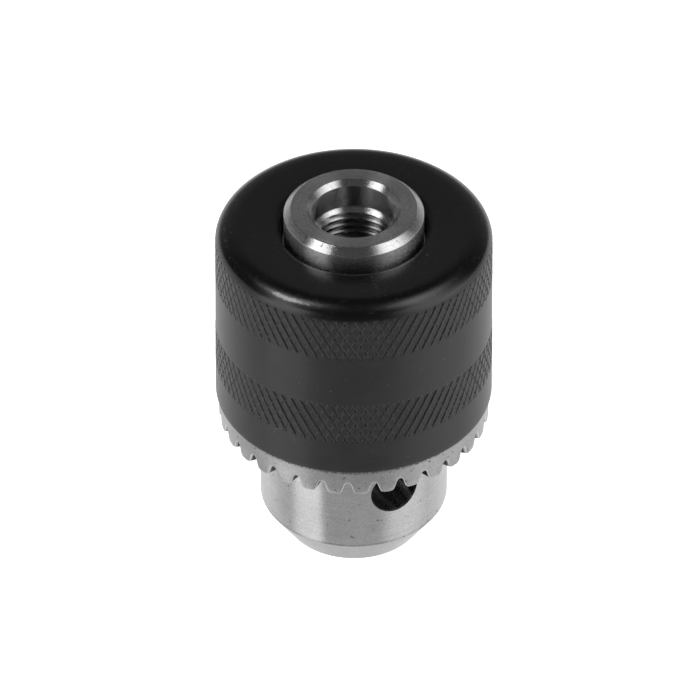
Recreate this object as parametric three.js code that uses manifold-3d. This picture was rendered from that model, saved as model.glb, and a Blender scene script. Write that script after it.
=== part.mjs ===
// Key-type drill chuck, 13 mm capacity. Millimetres; +Z runs along the spindle axis,
// from the nose face (z = 0) up to the threaded boss.
import * as THREE from 'three';
import { mergeVertices } from 'three/addons/utils/BufferGeometryUtils.js';
import Module from 'manifold-3d';

const wasm = await Module();
wasm.setup();

const TAU = Math.PI * 2;

// Facet counts round a full turn.
const ROUND_SEGMENTS = 48;
const RING_SEGMENTS = 64;
const BORE_SEGMENTS = 16;
const KEY_HOLE_SEGMENTS = 16;
const NUT_THREAD_STEPS = 24;
const SPINDLE_THREAD_STEPS = 16;
const SHOULDER_STEPS = 2;
const CROWN_STEPS = 3;
const WELD_DISTANCE = 1e-5;

// Nose and body.
const NOSE_FACE_R = 10.8;
const NOSE_R = 14.65;
const NOSE_CONE_TOP_Z = 5.9;
const NOSE_TOP_Z = 24.5;
const NUT_GROOVE_R = 12.9;
const SHOULDER_Z = 33.6;
const REAR_BODY_R = 18.2;
const REAR_BODY_TOP_Z = 55.4;
const CORNER_CHAMFER = 0.4;

// Boss that screws onto the spindle.
const BOSS_R = 10.75;
const BOSS_FACE_R = 9.65;
const BOSS_TOP_Z = 61.4;
const BOSS_CHAMFER_Z = 60.35;
const COUNTERBORE_MOUTH_R = 7.25;
const COUNTERBORE_R = 6.45;
const COUNTERBORE_CHAMFER_Z = 60.6;
const COUNTERBORE_FLOOR_Z = 56.6;
const THREAD_MINOR_R = 5.72;
const THREAD_MAJOR_R = 6.35;
const THREAD_PITCH = 1.27;
const THREAD_FLOOR_Z = 43;
const THREAD_LEAD_IN = 0.6;
const THREAD_CUT_IN = 0.2;
const THREAD_MOUTH_HALF = 0.56;
const THREAD_ROOT_HALF = 0.08;
const THREAD_RUN_OUT = 1;
const THREAD_RUN_IN = 0.5;
const SCREW_HOLE_R = 3.2;

// Tool bore and the three radial key holes.
const TOOL_BORE_R = 7;
const TOOL_BORE_TOP_Z = 38;
const TOOL_BORE_CHAMFER = 0.5;
const KEY_HOLE_R = 4;
const KEY_HOLE_Z = 16;
const KEY_HOLE_REACH = 20;
const KEY_HOLE_ANGLES = [-90, 30, 150];

// Jaws: round bars that slide in slanted bores.
const JAW_ANGLES = [-30, 90, 210];
const JAW_R = 3.25;
const JAW_BORE_R = 3.4;
const JAW_SLOPE = Math.atan(0.24);
const JAW_AXIS_AT_NOSE = 4.757;
const JAW_TIP_Z = 0.5;
const JAW_TOP_Z = 53.3;
const JAW_TOP_LIMIT_R = 20.3;
const JAW_BAR_START = -8;
const JAW_BAR_END = 66;
const GRIP_R = 6.5;
const GRIP_HALF_ANGLE = Math.PI / 3;
const GRIP_CUT_TOP_Z = 30;
const GRIP_CUT_HALF_WIDTH = 8;

// Scroll thread shared by the split nut and the jaws, measured along the jaw.
const SCROLL_PITCH = 1.8143;
const SCROLL_FLANK = Math.tan(Math.PI / 12);
const NUT_CREST_DEPTH = 0.7;
const NUT_CREST_HALF = 0.24;
const NUT_ROOT_OUT = 0.25;
const NUT_CUT_IN = 1;
const JAW_ROOT_DEPTH = 1.1;
const JAW_CUT_OUT = 0.3;
const SCROLL_SIDE_CLEARANCE = 0.14;
const JAW_TEETH_START = 25.2;
const JAW_TEETH_END = 56.6;
const JAW_TOOTH_HALF_SPAN = 3.2;
const SCROLL_MEAN_R = 14.3;

// Split nut.
const NUT_R = 18.2;
const NUT_BOTTOM_Z = 24.8;
const NUT_TOP_Z = 33.3;
const NUT_SPLIT_GAP = 0.3;
const NUT_SPARE_TURNS = 1;
const NUT_BLOCK_MARGIN = 2;

// Toothed ring: bevel teeth whose flanks converge on the key axis. TOOTH_GAP lists the
// gap between two teeth as height above the key axis per unit of radius, and half width.
const RING_R = 21;
const RING_TIP_R = 20.66;
const RING_TIP_Z = 21.84;
const RING_TIP_CHAMFER_Z = 22.3;
const RING_ROOT_Z = 24.1;
const RING_INNER_R = 16.6;
const RING_FLANGE_TOP_Z = 24.45;
const RING_SHELL_INNER_R = 18.5;
const RING_SHELL_R = 20.2;
const RING_SHOULDER_Z = 26.55;
const RING_TOP_Z = 41;
const TOOTH_COUNT = 32;
const TOOTH_PHASE = -0.67;
const TOOTH_GAP = [[0.22, 1.9], [0.283, 1.33], [0.3, 0.98], [0.328, 0.74], [0.36, 0.55], [0.378, 0.34]];
const TOOTH_CUT_IN_R = 12;
const TOOTH_CUT_OUT_R = 24;

// Jacket: sheet-steel shell with a rolled shoulder, a gentle crown and a flat top.
const JACKET_BOTTOM_Z = 26.85;
const JACKET_BOTTOM_R = 21.5;
const JACKET_TOP_R = 21.2;
const JACKET_TOP_Z = 58.15;
const JACKET_SHOULDER_R = 2.1;
const JACKET_CROWN_R = 4.6;
const JACKET_CROWN_TILT = 47;
const JACKET_INNER_R = 20.55;
const JACKET_INNER_CORNER_R = 3.2;
const JACKET_FLANGE_Z = 56.9;
const JACKET_MOUTH_R = 11.5;
const JACKET_MOUTH_CHAMFER = 0.7;
const KNURL_BANDS = [[32.9, 39.8], [49.2, 55.2]];
const KNURL_RISE = 0.1;

const MATERIALS = {
  jacket: { color: 0x16171a, roughness: 0.45, metalness: 0.6 },
  ring: { color: 0x8f9296, roughness: 0.4, metalness: 0.95 },
  body: { color: 0xa4a7ab, roughness: 0.32, metalness: 0.95 },
  jaw: { color: 0x7c7f84, roughness: 0.35, metalness: 0.95 },
  nut: { color: 0x6e7074, roughness: 0.5, metalness: 0.9 },
};

function radians(degrees) {
  return degrees * Math.PI / 180;
}

// A closed three.js geometry as a boolean-ready solid.
function solidOf(geometry) {
  const bare = geometry.clone();
  bare.deleteAttribute('normal');
  bare.deleteAttribute('uv');
  const merged = mergeVertices(bare, WELD_DISTANCE);
  return new wasm.Manifold(new wasm.Mesh({
    numProp: 3,
    vertProperties: new Float32Array(merged.attributes.position.array),
    triVerts: new Uint32Array(merged.index.array),
  }));
}

function geometryOf(solid) {
  const mesh = solid.getMesh();
  const geometry = new THREE.BufferGeometry();
  geometry.setAttribute('position', new THREE.BufferAttribute(new Float32Array(mesh.vertProperties), 3));
  geometry.setIndex(Array.from(mesh.triVerts));
  geometry.computeVertexNormals();
  return geometry;
}

// Turned solid from a loop of [radius, z], walked up the outside and down the inside.
function turned(loop, segments) {
  const points = [...loop, loop[0]].map(([r, z]) => new THREE.Vector2(r, z));
  const geometry = new THREE.LatheGeometry(points, segments);
  geometry.rotateX(Math.PI / 2);
  return solidOf(geometry);
}

// Solid through a row of matching convex sections, closed by a fan at each end.
function swept(sections) {
  const count = sections[0].length;
  const positions = sections.flat(2);
  const triangles = [];
  for (let i = 0; i + 1 < sections.length; i += 1) {
    for (let j = 0; j < count; j += 1) {
      const a = i * count + j;
      const b = i * count + (j + 1) % count;
      triangles.push(a, b, b + count, a, b + count, a + count);
    }
  }
  const last = (sections.length - 1) * count;
  for (let j = 1; j + 1 < count; j += 1) {
    triangles.push(0, j + 1, j);
    triangles.push(last, last + j, last + j + 1);
  }
  const geometry = new THREE.BufferGeometry();
  geometry.setAttribute('position', new THREE.BufferAttribute(new Float32Array(positions), 3));
  geometry.setIndex(triangles);
  return solidOf(geometry);
}

// Bar along +Z between two heights.
function bar(radius, low, high, segments) {
  const geometry = new THREE.CylinderGeometry(radius, radius, high - low, segments);
  geometry.rotateX(Math.PI / 2);
  geometry.translate(0, 0, (low + high) / 2);
  return geometry;
}

// Radius and height of a point beside a jaw: outward from its axis, then along it.
function besideJaw(outward, along) {
  return [
    JAW_AXIS_AT_NOSE + outward * Math.cos(JAW_SLOPE) + along * Math.sin(JAW_SLOPE),
    along * Math.cos(JAW_SLOPE) - outward * Math.sin(JAW_SLOPE),
  ];
}

// Puts a geometry built round a jaw's own axis in place at one angle round the chuck.
function placeAtJaw(geometry, angle) {
  geometry.rotateY(JAW_SLOPE);
  geometry.translate(JAW_AXIS_AT_NOSE, 0, 0);
  geometry.rotateZ(radians(angle));
  return geometry;
}

// Helical cutter: cross-section corners are given by a function of turns made.
function helix(firstTurn, lastTurn, stepsPerTurn, cornersAt) {
  const steps = Math.round((lastTurn - firstTurn) * stepsPerTurn);
  const sections = [];
  for (let i = 0; i <= steps; i += 1) {
    const turn = firstTurn + i / stepsPerTurn;
    const angle = turn * TAU;
    sections.push(cornersAt(turn).map(([r, z]) => [r * Math.cos(angle), r * Math.sin(angle), z]));
  }
  return swept(sections);
}

function bodyBlank() {
  const wall = [
    [NOSE_FACE_R, 0],
    [NOSE_R, NOSE_CONE_TOP_Z],
    [NOSE_R, NOSE_TOP_Z],
    [NUT_GROOVE_R, NOSE_TOP_Z],
    [NUT_GROOVE_R, SHOULDER_Z],
    [REAR_BODY_R, SHOULDER_Z],
    [REAR_BODY_R, REAR_BODY_TOP_Z - CORNER_CHAMFER],
    [REAR_BODY_R - CORNER_CHAMFER, REAR_BODY_TOP_Z],
    [BOSS_R, REAR_BODY_TOP_Z],
    [BOSS_R, BOSS_CHAMFER_Z],
    [BOSS_FACE_R, BOSS_TOP_Z],
    [COUNTERBORE_MOUTH_R, BOSS_TOP_Z],
    [COUNTERBORE_R, COUNTERBORE_CHAMFER_Z],
    [COUNTERBORE_R, COUNTERBORE_FLOOR_Z],
    [SCREW_HOLE_R, COUNTERBORE_FLOOR_Z],
    [SCREW_HOLE_R, TOOL_BORE_TOP_Z],
    [TOOL_BORE_R, TOOL_BORE_TOP_Z],
    [TOOL_BORE_R, TOOL_BORE_CHAMFER],
    [TOOL_BORE_R + TOOL_BORE_CHAMFER, 0],
  ];
  return turned(wall, ROUND_SEGMENTS);
}

// Tapped hole up to the counterbore, with a lead-in chamfer.
function spindleHole() {
  const hole = [
    [THREAD_MAJOR_R, COUNTERBORE_FLOOR_Z],
    [THREAD_MAJOR_R, COUNTERBORE_FLOOR_Z + THREAD_PITCH],
    [SCREW_HOLE_R / 2, COUNTERBORE_FLOOR_Z + THREAD_PITCH],
    [SCREW_HOLE_R / 2, THREAD_FLOOR_Z],
    [THREAD_MINOR_R, THREAD_FLOOR_Z],
    [THREAD_MINOR_R, COUNTERBORE_FLOOR_Z - THREAD_LEAD_IN],
  ];
  return turned(hole, SPINDLE_THREAD_STEPS).add(spindleThreadCut());
}

// Sixty-degree thread groove for the spindle, run out below the counterbore.
function spindleThreadCut() {
  const inner = THREAD_MINOR_R - THREAD_CUT_IN;
  const first = (THREAD_FLOOR_Z + THREAD_RUN_OUT) / THREAD_PITCH;
  const last = (COUNTERBORE_FLOOR_Z + THREAD_RUN_IN) / THREAD_PITCH;
  return helix(first, last, SPINDLE_THREAD_STEPS, (turn) => {
    const z = turn * THREAD_PITCH;
    return [
      [inner, z + THREAD_MOUTH_HALF],
      [THREAD_MAJOR_R, z + THREAD_ROOT_HALF],
      [THREAD_MAJOR_R, z - THREAD_ROOT_HALF],
      [inner, z - THREAD_MOUTH_HALF],
    ];
  });
}

function keyHole(angle) {
  const hole = bar(KEY_HOLE_R, 0, KEY_HOLE_REACH, KEY_HOLE_SEGMENTS);
  hole.rotateY(Math.PI / 2);
  hole.translate(0, 0, KEY_HOLE_Z);
  hole.rotateZ(radians(angle));
  return solidOf(hole);
}

function chuckBody() {
  let body = bodyBlank().subtract(spindleHole());
  for (const angle of JAW_ANGLES) {
    const bore = bar(JAW_BORE_R, JAW_BAR_START, JAW_BAR_END, BORE_SEGMENTS);
    body = body.subtract(solidOf(placeAtJaw(bore, angle)));
  }
  for (const angle of KEY_HOLE_ANGLES) {
    body = body.subtract(keyHole(angle));
  }
  return body;
}

// Vee that leaves a jaw two grip flats meeting in an upright edge.
function gripCut(angle) {
  const flare = GRIP_CUT_HALF_WIDTH / Math.tan(GRIP_HALF_ANGLE);
  const outline = new THREE.Shape([
    new THREE.Vector2(-GRIP_R, -GRIP_CUT_HALF_WIDTH),
    new THREE.Vector2(GRIP_R + flare, -GRIP_CUT_HALF_WIDTH),
    new THREE.Vector2(GRIP_R, 0),
    new THREE.Vector2(GRIP_R + flare, GRIP_CUT_HALF_WIDTH),
    new THREE.Vector2(-GRIP_R, GRIP_CUT_HALF_WIDTH),
  ]);
  const cut = new THREE.ExtrudeGeometry(outline, { depth: GRIP_CUT_TOP_Z + GRIP_R, bevelEnabled: false });
  cut.translate(0, 0, -GRIP_R);
  cut.rotateZ(radians(angle));
  return solidOf(cut);
}

// Half width of the nut's thread ridge at a distance outward from the jaw's back.
function nutRidgeHalf(out) {
  return NUT_CREST_HALF + (out + NUT_CREST_DEPTH) * SCROLL_FLANK;
}

// One straight groove across a jaw's back, tipped to the scroll's lead.
function jawThreadCut(along, angle) {
  const rootHalf = nutRidgeHalf(-JAW_ROOT_DEPTH) + SCROLL_SIDE_CLEARANCE;
  const mouthHalf = nutRidgeHalf(JAW_CUT_OUT) + SCROLL_SIDE_CLEARANCE;
  const root = JAW_R - JAW_ROOT_DEPTH;
  const mouth = JAW_R + JAW_CUT_OUT;
  const outline = new THREE.Shape([
    new THREE.Vector2(root, -rootHalf),
    new THREE.Vector2(mouth, -mouthHalf),
    new THREE.Vector2(mouth, mouthHalf),
    new THREE.Vector2(root, rootHalf),
  ]);
  const cut = new THREE.ExtrudeGeometry(outline, { depth: 2 * JAW_TOOTH_HALF_SPAN, bevelEnabled: false });
  cut.translate(0, 0, -JAW_TOOTH_HALF_SPAN);
  cut.rotateX(Math.PI / 2);
  cut.rotateX(Math.atan(SCROLL_PITCH / (TAU * SCROLL_MEAN_R)));
  cut.translate(0, 0, along);
  return solidOf(placeAtJaw(cut, angle));
}

function jaw(angle) {
  const stock = bar(JAW_R, JAW_BAR_START, JAW_BAR_END, BORE_SEGMENTS);
  const envelope = solidOf(bar(JAW_TOP_LIMIT_R, JAW_TIP_Z, JAW_TOP_Z, ROUND_SEGMENTS));
  let solid = solidOf(placeAtJaw(stock, angle)).intersect(envelope).subtract(gripCut(angle));
  const turnAtJaw = angle / 360;
  const firstTooth = Math.ceil(JAW_TEETH_START / SCROLL_PITCH - turnAtJaw);
  for (let i = firstTooth; (i + turnAtJaw + 0.5) * SCROLL_PITCH < JAW_TEETH_END; i += 1) {
    solid = solid.subtract(jawThreadCut((i + turnAtJaw + 0.5) * SCROLL_PITCH, angle));
  }
  return solid;
}

// Height along the jaw at which its back reaches a given z.
function alongAt(z) {
  return (z + JAW_R * Math.sin(JAW_SLOPE)) / Math.cos(JAW_SLOPE);
}

function nutThreadCut() {
  const innerHalf = SCROLL_PITCH / 2 - nutRidgeHalf(-NUT_CUT_IN);
  const outerHalf = SCROLL_PITCH / 2 - nutRidgeHalf(NUT_ROOT_OUT);
  const inner = JAW_R - NUT_CUT_IN;
  const outer = JAW_R + NUT_ROOT_OUT;
  const first = Math.floor(alongAt(NUT_BOTTOM_Z) / SCROLL_PITCH) - NUT_SPARE_TURNS;
  const last = Math.ceil(alongAt(NUT_TOP_Z) / SCROLL_PITCH) + NUT_SPARE_TURNS;
  return helix(first, last, NUT_THREAD_STEPS, (turn) => {
    const along = turn * SCROLL_PITCH;
    return [
      besideJaw(inner, along + innerHalf),
      besideJaw(outer, along + outerHalf),
      besideJaw(outer, along - outerHalf),
      besideJaw(inner, along - innerHalf),
    ];
  });
}

function nutRing() {
  const crest = JAW_R - NUT_CREST_DEPTH;
  const [lowR] = besideJaw(crest, alongAt(NUT_BOTTOM_Z));
  const [highR] = besideJaw(crest, alongAt(NUT_TOP_Z));
  const loop = [[NUT_R, NUT_BOTTOM_Z], [NUT_R, NUT_TOP_Z], [highR, NUT_TOP_Z], [lowR, NUT_BOTTOM_Z]];
  return turned(loop, NUT_THREAD_STEPS).subtract(nutThreadCut());
}

// Half of the nut on one side of the split plane.
function nutHalf(side) {
  const reach = NUT_R + NUT_BLOCK_MARGIN;
  const block = new THREE.BoxGeometry(2 * reach, reach, 2 * reach);
  block.translate(0, side * (reach + NUT_SPLIT_GAP) / 2, (NUT_BOTTOM_Z + NUT_TOP_Z) / 2);
  return nutRing().intersect(solidOf(block));
}

// Wedge between two bevel teeth; every section scales with its distance from the axis.
function toothGap(index) {
  const sectionAt = (radius) => {
    const flank = TOOTH_GAP.map(([slope, half]) => [half * radius / RING_R, KEY_HOLE_Z + slope * radius]);
    const right = flank.map(([across, z]) => [radius, across, z]);
    const left = flank.map(([across, z]) => [radius, -across, z]).reverse();
    const rootZ = KEY_HOLE_Z + (RING_ROOT_Z - KEY_HOLE_Z) * radius / RING_R;
    return [...right, [radius, 0, rootZ], ...left];
  };
  return swept([sectionAt(TOOTH_CUT_IN_R), sectionAt(TOOTH_CUT_OUT_R)])
    .rotate([0, 0, TOOTH_PHASE - 90 + (index + 0.5) * 360 / TOOTH_COUNT]);
}

function toothedRing() {
  const tipSlope = (RING_TIP_Z - KEY_HOLE_Z) / RING_TIP_R;
  const loop = [
    [RING_TIP_R, RING_TIP_Z],
    [RING_R, RING_TIP_CHAMFER_Z],
    [RING_R, RING_SHOULDER_Z],
    [RING_SHELL_R, RING_SHOULDER_Z],
    [RING_SHELL_R, RING_TOP_Z],
    [RING_SHELL_INNER_R, RING_TOP_Z],
    [RING_SHELL_INNER_R, RING_FLANGE_TOP_Z],
    [RING_INNER_R, RING_FLANGE_TOP_Z],
    [RING_INNER_R, KEY_HOLE_Z + tipSlope * RING_INNER_R],
  ];
  let ring = turned(loop, RING_SEGMENTS);
  for (let i = 0; i < TOOTH_COUNT; i += 1) {
    ring = ring.subtract(toothGap(i));
  }
  return ring;
}

// Arc of [radius, z] points about a centre, between two angles in degrees.
function arc([centreR, centreZ], radius, from, to, steps) {
  return Array.from({ length: steps + 1 }, (_, i) => {
    const angle = radians(from + (to - from) * i / steps);
    return [centreR + radius * Math.cos(angle), centreZ + radius * Math.sin(angle)];
  });
}

function outerJacket() {
  const tilt = radians(JACKET_CROWN_TILT);
  const excess = JACKET_CROWN_R - JACKET_SHOULDER_R;
  const crownZ = JACKET_TOP_Z - JACKET_CROWN_R;
  const shoulder = [JACKET_TOP_R - JACKET_SHOULDER_R, crownZ + excess * Math.sin(tilt)];
  const crown = [shoulder[0] - excess * Math.cos(tilt), crownZ];
  const wallR = (z) => JACKET_BOTTOM_R
    + (JACKET_TOP_R - JACKET_BOTTOM_R) * (z - JACKET_BOTTOM_Z) / (shoulder[1] - JACKET_BOTTOM_Z);
  const wall = KNURL_BANDS.flatMap(([low, high]) => [
    [wallR(low), low],
    [wallR(low) + KNURL_RISE, low + KNURL_RISE],
    [wallR(high) + KNURL_RISE, high - KNURL_RISE],
    [wallR(high), high],
  ]);
  const corner = [JACKET_INNER_R - JACKET_INNER_CORNER_R, JACKET_FLANGE_Z - JACKET_INNER_CORNER_R];
  const loop = [
    [JACKET_BOTTOM_R, JACKET_BOTTOM_Z],
    ...wall,
    ...arc(shoulder, JACKET_SHOULDER_R, 0, JACKET_CROWN_TILT, SHOULDER_STEPS),
    ...arc(crown, JACKET_CROWN_R, JACKET_CROWN_TILT, 90, CROWN_STEPS).slice(1),
    [JACKET_MOUTH_R + JACKET_MOUTH_CHAMFER, JACKET_TOP_Z],
    [JACKET_MOUTH_R, JACKET_TOP_Z - JACKET_MOUTH_CHAMFER],
    [JACKET_MOUTH_R, JACKET_FLANGE_Z],
    ...arc(corner, JACKET_INNER_CORNER_R, 90, 0, CROWN_STEPS),
    [JACKET_INNER_R, JACKET_BOTTOM_Z],
  ];
  return turned(loop, RING_SEGMENTS);
}

const group = new THREE.Group();
group.name = 'drill_chuck';

function addPart(name, solid, finish) {
  const mesh = new THREE.Mesh(geometryOf(solid), new THREE.MeshStandardMaterial(MATERIALS[finish]));
  mesh.name = name;
  group.add(mesh);
}

addPart('chuck_body', chuckBody(), 'body');
addPart('outer_jacket', outerJacket(), 'jacket');
addPart('toothed_ring', toothedRing(), 'ring');
addPart('nut_half_a', nutHalf(1), 'nut');
addPart('nut_half_b', nutHalf(-1), 'nut');
JAW_ANGLES.forEach((angle, index) => addPart(`jaw_${index + 1}`, jaw(angle), 'jaw'));

export default group;
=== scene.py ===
"""Keyed drill chuck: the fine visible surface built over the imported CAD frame.

Lengths named here are in millimetres and are turned into metres as meshes are made.
Points round the chuck are given as radius, height above the nose face, and angle.
"""

import math

import bpy
import numpy as np
from mathutils import Matrix, Vector


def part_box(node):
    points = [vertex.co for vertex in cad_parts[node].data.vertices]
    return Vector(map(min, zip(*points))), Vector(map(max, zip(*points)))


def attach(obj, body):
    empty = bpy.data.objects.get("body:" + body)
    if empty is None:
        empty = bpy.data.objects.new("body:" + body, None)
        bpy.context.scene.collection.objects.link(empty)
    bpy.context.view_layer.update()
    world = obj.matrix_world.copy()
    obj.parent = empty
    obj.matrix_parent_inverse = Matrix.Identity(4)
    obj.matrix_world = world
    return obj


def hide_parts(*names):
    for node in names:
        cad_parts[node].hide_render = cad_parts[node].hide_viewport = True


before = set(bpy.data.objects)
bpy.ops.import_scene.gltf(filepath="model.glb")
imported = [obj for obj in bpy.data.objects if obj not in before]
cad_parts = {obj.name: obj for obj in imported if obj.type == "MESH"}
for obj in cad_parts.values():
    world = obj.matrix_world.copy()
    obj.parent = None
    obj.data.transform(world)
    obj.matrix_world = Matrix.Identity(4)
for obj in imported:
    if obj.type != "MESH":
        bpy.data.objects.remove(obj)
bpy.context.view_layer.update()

MM = 0.001
TAU = math.tau


def top_of(node):
    """Highest point of a CAD node, in millimetres."""
    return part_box(node)[1][2] / MM


def bottom_of(node):
    """Lowest point of a CAD node, in millimetres."""
    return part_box(node)[0][2] / MM


def radius_of(node):
    """Largest distance of a CAD node from the spindle axis along Y, in millimetres."""
    return -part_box(node)[0][1] / MM


# Heights and radii that come from the frame.
BOSS_TOP = top_of("chuck_body")
JACKET_BOTTOM = bottom_of("outer_jacket")
JACKET_TOP = top_of("outer_jacket")
RING_TOP = top_of("toothed_ring")
RING_R = radius_of("toothed_ring")
JAW_TIP = bottom_of("jaw_2")
JAW_TOP = top_of("jaw_2")

# Body, from the nose up to the counterbore.
NOSE_FACE_R = 10.8
NOSE_R = 14.65
NOSE_CONE_TOP = 5.8
NOSE_TOP = 24.5
TOOL_BORE_CHAMFER = 0.5
NUT_GROOVE_R = 12.9
SHOULDER = 33.6
REAR_BODY_R = 18.2
REAR_BODY_TOP = BOSS_TOP - 6.0
BOSS_R = 10.75
BOSS_FACE_R = 9.65
BOSS_CHAMFER = 1.05
COUNTERBORE_MOUTH_R = 7.25
COUNTERBORE_R = 6.45
COUNTERBORE_CHAMFER = 0.78
COUNTERBORE_FLOOR = BOSS_TOP - 4.8
THREAD_MINOR_R = 5.72
THREAD_MAJOR_R = 6.35
THREAD_PITCH = 1.27
THREAD_FLOOR = 43.0
THREAD_LEAD_IN = 0.55
# Shares of half a pitch, measured from the root: the crest's edge, and the sloping flank.
THREAD_CREST_EDGE = 0.86
THREAD_FLANK = 0.66
THREAD_STEP = 0.09
SCREW_HOLE_R = 3.2
SCREW_SEAT_DEPTH = 1.2
TOOL_BORE_R = 7.0
TOOL_BORE_TOP = 38.0

KEY_HOLE_R = 4.0
KEY_HOLE_Z = 16.0
KEY_HOLE_REACH = 20
KEY_HOLE_ANGLES = (-90, 30, 150)

# Jaws.
JAW_ANGLES = (-30, 90, 210)
JAW_R = 3.25
JAW_BORE_R = 3.4
# Stretch of a jaw's own axis that its stock and its bore are cut from.
JAW_STOCK = (-8, 66)
JAW_SLOPE = math.atan(0.24)
JAW_AXIS_AT_NOSE = 4.757
JAW_TOP_LIMIT_R = 20.3
GRIP_R = 6.5
GRIP_HALF_WIDTH = 8
GRIP_HALF_ANGLE = math.radians(60)
GRIP_SPAN = (-8, 30)
JAW_REACH = 24.0
SCROLL_PITCH = 1.8143
JAW_THREAD_START = 25.2
JAW_THREAD_END = 56.6
JAW_THREAD_DEPTH = 1.1
JAW_THREAD_OVERCUT = 0.3
JAW_THREAD_HALF_ROOT = 0.30
JAW_THREAD_HALF_MOUTH = 0.66
JAW_THREAD_LEAD_R = 14.3
JAW_THREAD_SPAN = 3.4

# Toothed ring.
TOOTH_COUNT = 32
TOOTH_PHASE = -0.67
RING_TIP_Z = 21.84
RING_TIP_R = 20.66
RING_ROOT_Z = 24.1
RING_INNER_R = 16.6
RING_FLANGE_TOP = 24.45
RING_SHELL_INNER_R = 18.5
RING_SHELL_R = 20.2
RING_SHOULDER = JACKET_BOTTOM - 0.28
RING_EDGE = 0.12
# Heights of an uneven darker band on the ring just under the jacket's edge.
RING_DARK_BAND = (25.9, 26.4)
RING_TOOTH_ROWS = (20.4, 19.5, 18.2, RING_INNER_R + 0.2)

# Jacket.
JACKET_BOTTOM_R = 21.46
JACKET_SKIRT = JACKET_BOTTOM - 0.2
JACKET_TOP_R = 21.2
JACKET_SHOULDER_R = 2.1
JACKET_CROWN_R = 4.6
JACKET_CROWN_TILT = math.radians(47)
JACKET_INNER_R = 20.55
JACKET_INNER_CORNER_R = 3.0
JACKET_WALL = 1.65
JACKET_MOUTH_R = 11.2
JACKET_LIP_R = 1.45
KNURL_BANDS = ((32.7, 39.7), (48.9, 56.0))
KNURL_COUNT = 84
KNURL_ANGLE = math.radians(30)
KNURL_DEPTH = 0.2
KNURL_HALF_WIDTH = 0.19
KNURL_LIP_HEIGHT = 0.035
KNURL_LIP_WIDTH = 0.07
KNURL_STEP = 0.1
PLAIN_STEP = 0.8
PLAIN_STARTS = (27.6, 40.2)
JACKET_ARC_STEPS = 8

# Places where the finish on the rolled edge is rubbed: angle, half width and amount.
JACKET_RUBS = ((-147, 13, 0.68), (-85, 26, 0.15), (10, 30, 0.25), (95, 14, 0.5), (150, 25, 0.2))
JACKET_RUB_TILT = 59
JACKET_RUB_SPREAD = 6

# Depths below the jacket's top between which its smooth press-formed face fades out; that face is also given
# a darker colour as painted shade.
PRESSED_SHADE_DEPTH = (2.6, 1.2)

# A faint curved scratch low on the jacket: angle, height and radius.
SCRATCH_ANGLE = -146.4
SCRATCH_Z = 31.2
SCRATCH_R = 1.8

# Corner arcs of the body's and the jacket's edges.
FINE_ARC = 0.08
EDGE_ARC = 0.12
SMALL_ARC = 0.15
BODY_ARC = 0.3

# Columns round the axis, and the angles above which an edge stays crisp.
BODY_COLUMNS = 240
BAR_COLUMNS = 64
HOLE_COLUMNS = 72
ENVELOPE_COLUMNS = 96
JACKET_COLUMNS_PER_KNURL = 18
BODY_CRISP = 28
RING_CRISP = 38
JACKET_CRISP = 50

# Studio light, as strengths; sideways angles are in degrees from the camera's.
TABLE_LIGHT = 0.44
TABLE_LIGHT_BEHIND = 0.5
TABLE_LIGHT_STEEP = 0.75
ROOM_FRONT, ROOM_BACK, ROOM_NEAR = 0.048, 0.173, 0.03
LEFT_BOX = (-77.5, -75.5, -40.5, -38.5)
LEFT_LEAN = 34.0
RIGHT_BOX = (28.0, 56.0, 74.0, 112.0)
RIGHT_LEAN = -20.0
FLOOR_SIZE = 8
FLOOR_GLOW = 0.86

# The camera's angle and framing.
VIEW_AZIMUTH = math.radians(-26.3)
VIEW_ELEVATION = math.radians(39.55)
VIEW_DISTANCE = 1.1
VIEW_AIM_Z = 0.030
LENS_MM = 364.6
SENSOR_MM = 36.0
FRAME_SHIFT = (-0.0055, 0.0243)


# ---------------------------------------------------------------- camera, floor and light


def add_camera():
    """Camera looking down at the chuck's axis."""
    away = Vector((
        math.sin(VIEW_AZIMUTH) * math.cos(VIEW_ELEVATION),
        -math.cos(VIEW_AZIMUTH) * math.cos(VIEW_ELEVATION),
        math.sin(VIEW_ELEVATION),
    ))
    data = bpy.data.cameras.new("camera")
    data.lens = LENS_MM
    data.sensor_width = SENSOR_MM
    data.shift_x, data.shift_y = FRAME_SHIFT
    data.clip_start = 0.01
    camera = bpy.data.objects.new("camera", data)
    camera.location = Vector((0, 0, VIEW_AIM_Z)) + away * VIEW_DISTANCE
    camera.rotation_euler = (-away).to_track_quat("-Z", "Y").to_euler()
    bpy.context.scene.collection.objects.link(camera)
    bpy.context.scene.camera = camera


class Nodes:
    """Short way to add and wire shader nodes in one tree."""

    def __init__(self, tree):
        self.tree = tree
        tree.nodes.clear()

    def add(self, kind, inputs=None, **settings):
        node = self.tree.nodes.new(kind)
        for name, value in settings.items():
            setattr(node, name, value)
        for key, value in (inputs or {}).items():
            if isinstance(value, bpy.types.NodeSocket):
                self.tree.links.new(value, node.inputs[key])
            else:
                node.inputs[key].default_value = value
        return node

    def math(self, operation, first, second=0.0, third=0.0):
        node = self.add("ShaderNodeMath", {0: first, 1: second, 2: third}, operation=operation)
        return node.outputs[0]

    def smooth(self, value, start, end, low=0.0, high=1.0):
        """Smooth step from low to high as value goes from start to end."""
        node = self.add(
            "ShaderNodeMapRange",
            {"Value": value, "From Min": start, "From Max": end, "To Min": low, "To Max": high},
            interpolation_type="SMOOTHSTEP",
        )
        return node.outputs["Result"]

    def noise(self, vector, scale, detail=3.0, roughness=0.55):
        node = self.add(
            "ShaderNodeTexNoise",
            {"Vector": vector, "Scale": scale, "Detail": detail, "Roughness": roughness},
        )
        return node.outputs[0]


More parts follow.
